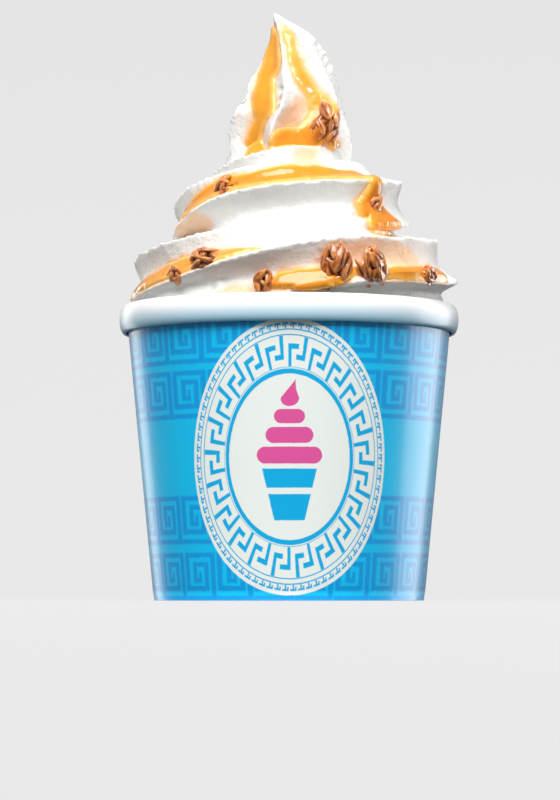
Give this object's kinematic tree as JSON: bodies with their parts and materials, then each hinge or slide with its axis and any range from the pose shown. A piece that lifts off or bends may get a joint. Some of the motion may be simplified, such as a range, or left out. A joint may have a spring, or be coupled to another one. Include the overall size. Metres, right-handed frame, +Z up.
{
  "type": "frozen yogurt cup",
  "caption": "Tapered paper cup with a rolled rim, filled with a tall star-piped swirl of frozen yogurt, honey in its grooves and clusters of baked oats.",
  "frame": {"origin": "middle of the cup's foot, on the surface that it stands on", "axes": "+Z up along the cup's axis, -Y towards the printed medallion at the front, +X to the right seen from the front"},
  "size_m": [0.0798, 0.0798, 0.139],
  "materials": {
    "printed_board": "coated paper board, satin",
    "plain_board": "coated paper board, satin white",
    "yogurt": "soft frozen yogurt, matt with a damp sheen",
    "honey": "wet honey",
    "baked_oats": "toasted oat flakes glazed with honey"
  },
  "bodies": {
    "root": {"cup_side": "printed_board", "cup_bottom": "plain_board", "yogurt": "yogurt", "oat_cluster_01": "baked_oats", "oat_cluster_02": "baked_oats", "oat_cluster_03": "baked_oats", "oat_cluster_04": "baked_oats", "oat_cluster_05": "baked_oats", "oat_cluster_06": "baked_oats", "oat_cluster_07": "baked_oats", "oat_cluster_08": "baked_oats", "oat_cluster_09": "baked_oats", "oat_cluster_10": "baked_oats", "oat_cluster_11": "baked_oats", "oat_cluster_12": "baked_oats"}
  },
  "joints": []
}
